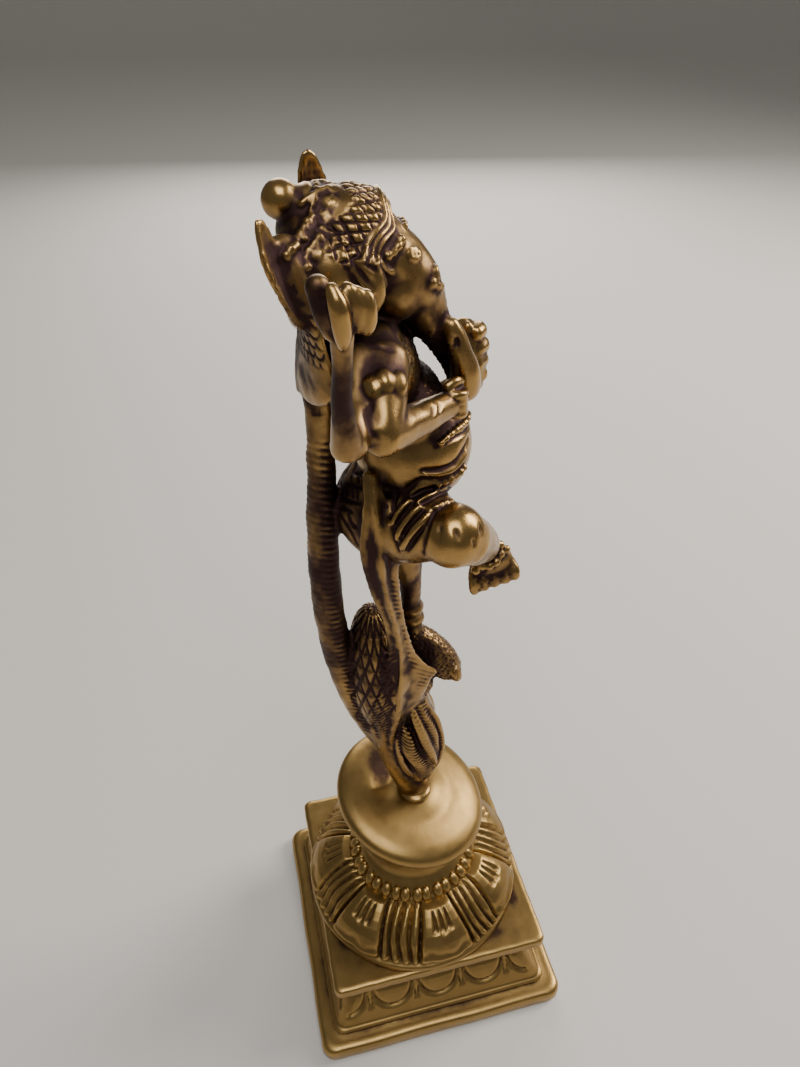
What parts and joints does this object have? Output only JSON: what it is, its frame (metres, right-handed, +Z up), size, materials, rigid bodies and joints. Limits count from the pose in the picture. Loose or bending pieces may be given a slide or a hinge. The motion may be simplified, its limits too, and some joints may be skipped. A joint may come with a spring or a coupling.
{
  "type": "dancing ganesha figure on plinth",
  "caption": "Cast brass elephant-headed deity dancing on a raised serpent support, with crown, curled trunk and sash, brazed to a lotus and square stepped plinth.",
  "frame": {"origin": "centre of the flat underside of the plinth", "axes": "+Z up, the figure faces -Y, its own right side is towards -X"},
  "size_m": [0.076, 0.076, 0.242],
  "materials": {
    "plinth_brass": "worn, brown patina in the recesses",
    "figure_brass": "worn, purplish brown patina in the recesses, rubbed highlights"
  },
  "bodies": {
    "root": {"plinth": "plinth_brass", "figure": "figure_brass"}
  },
  "joints": []
}
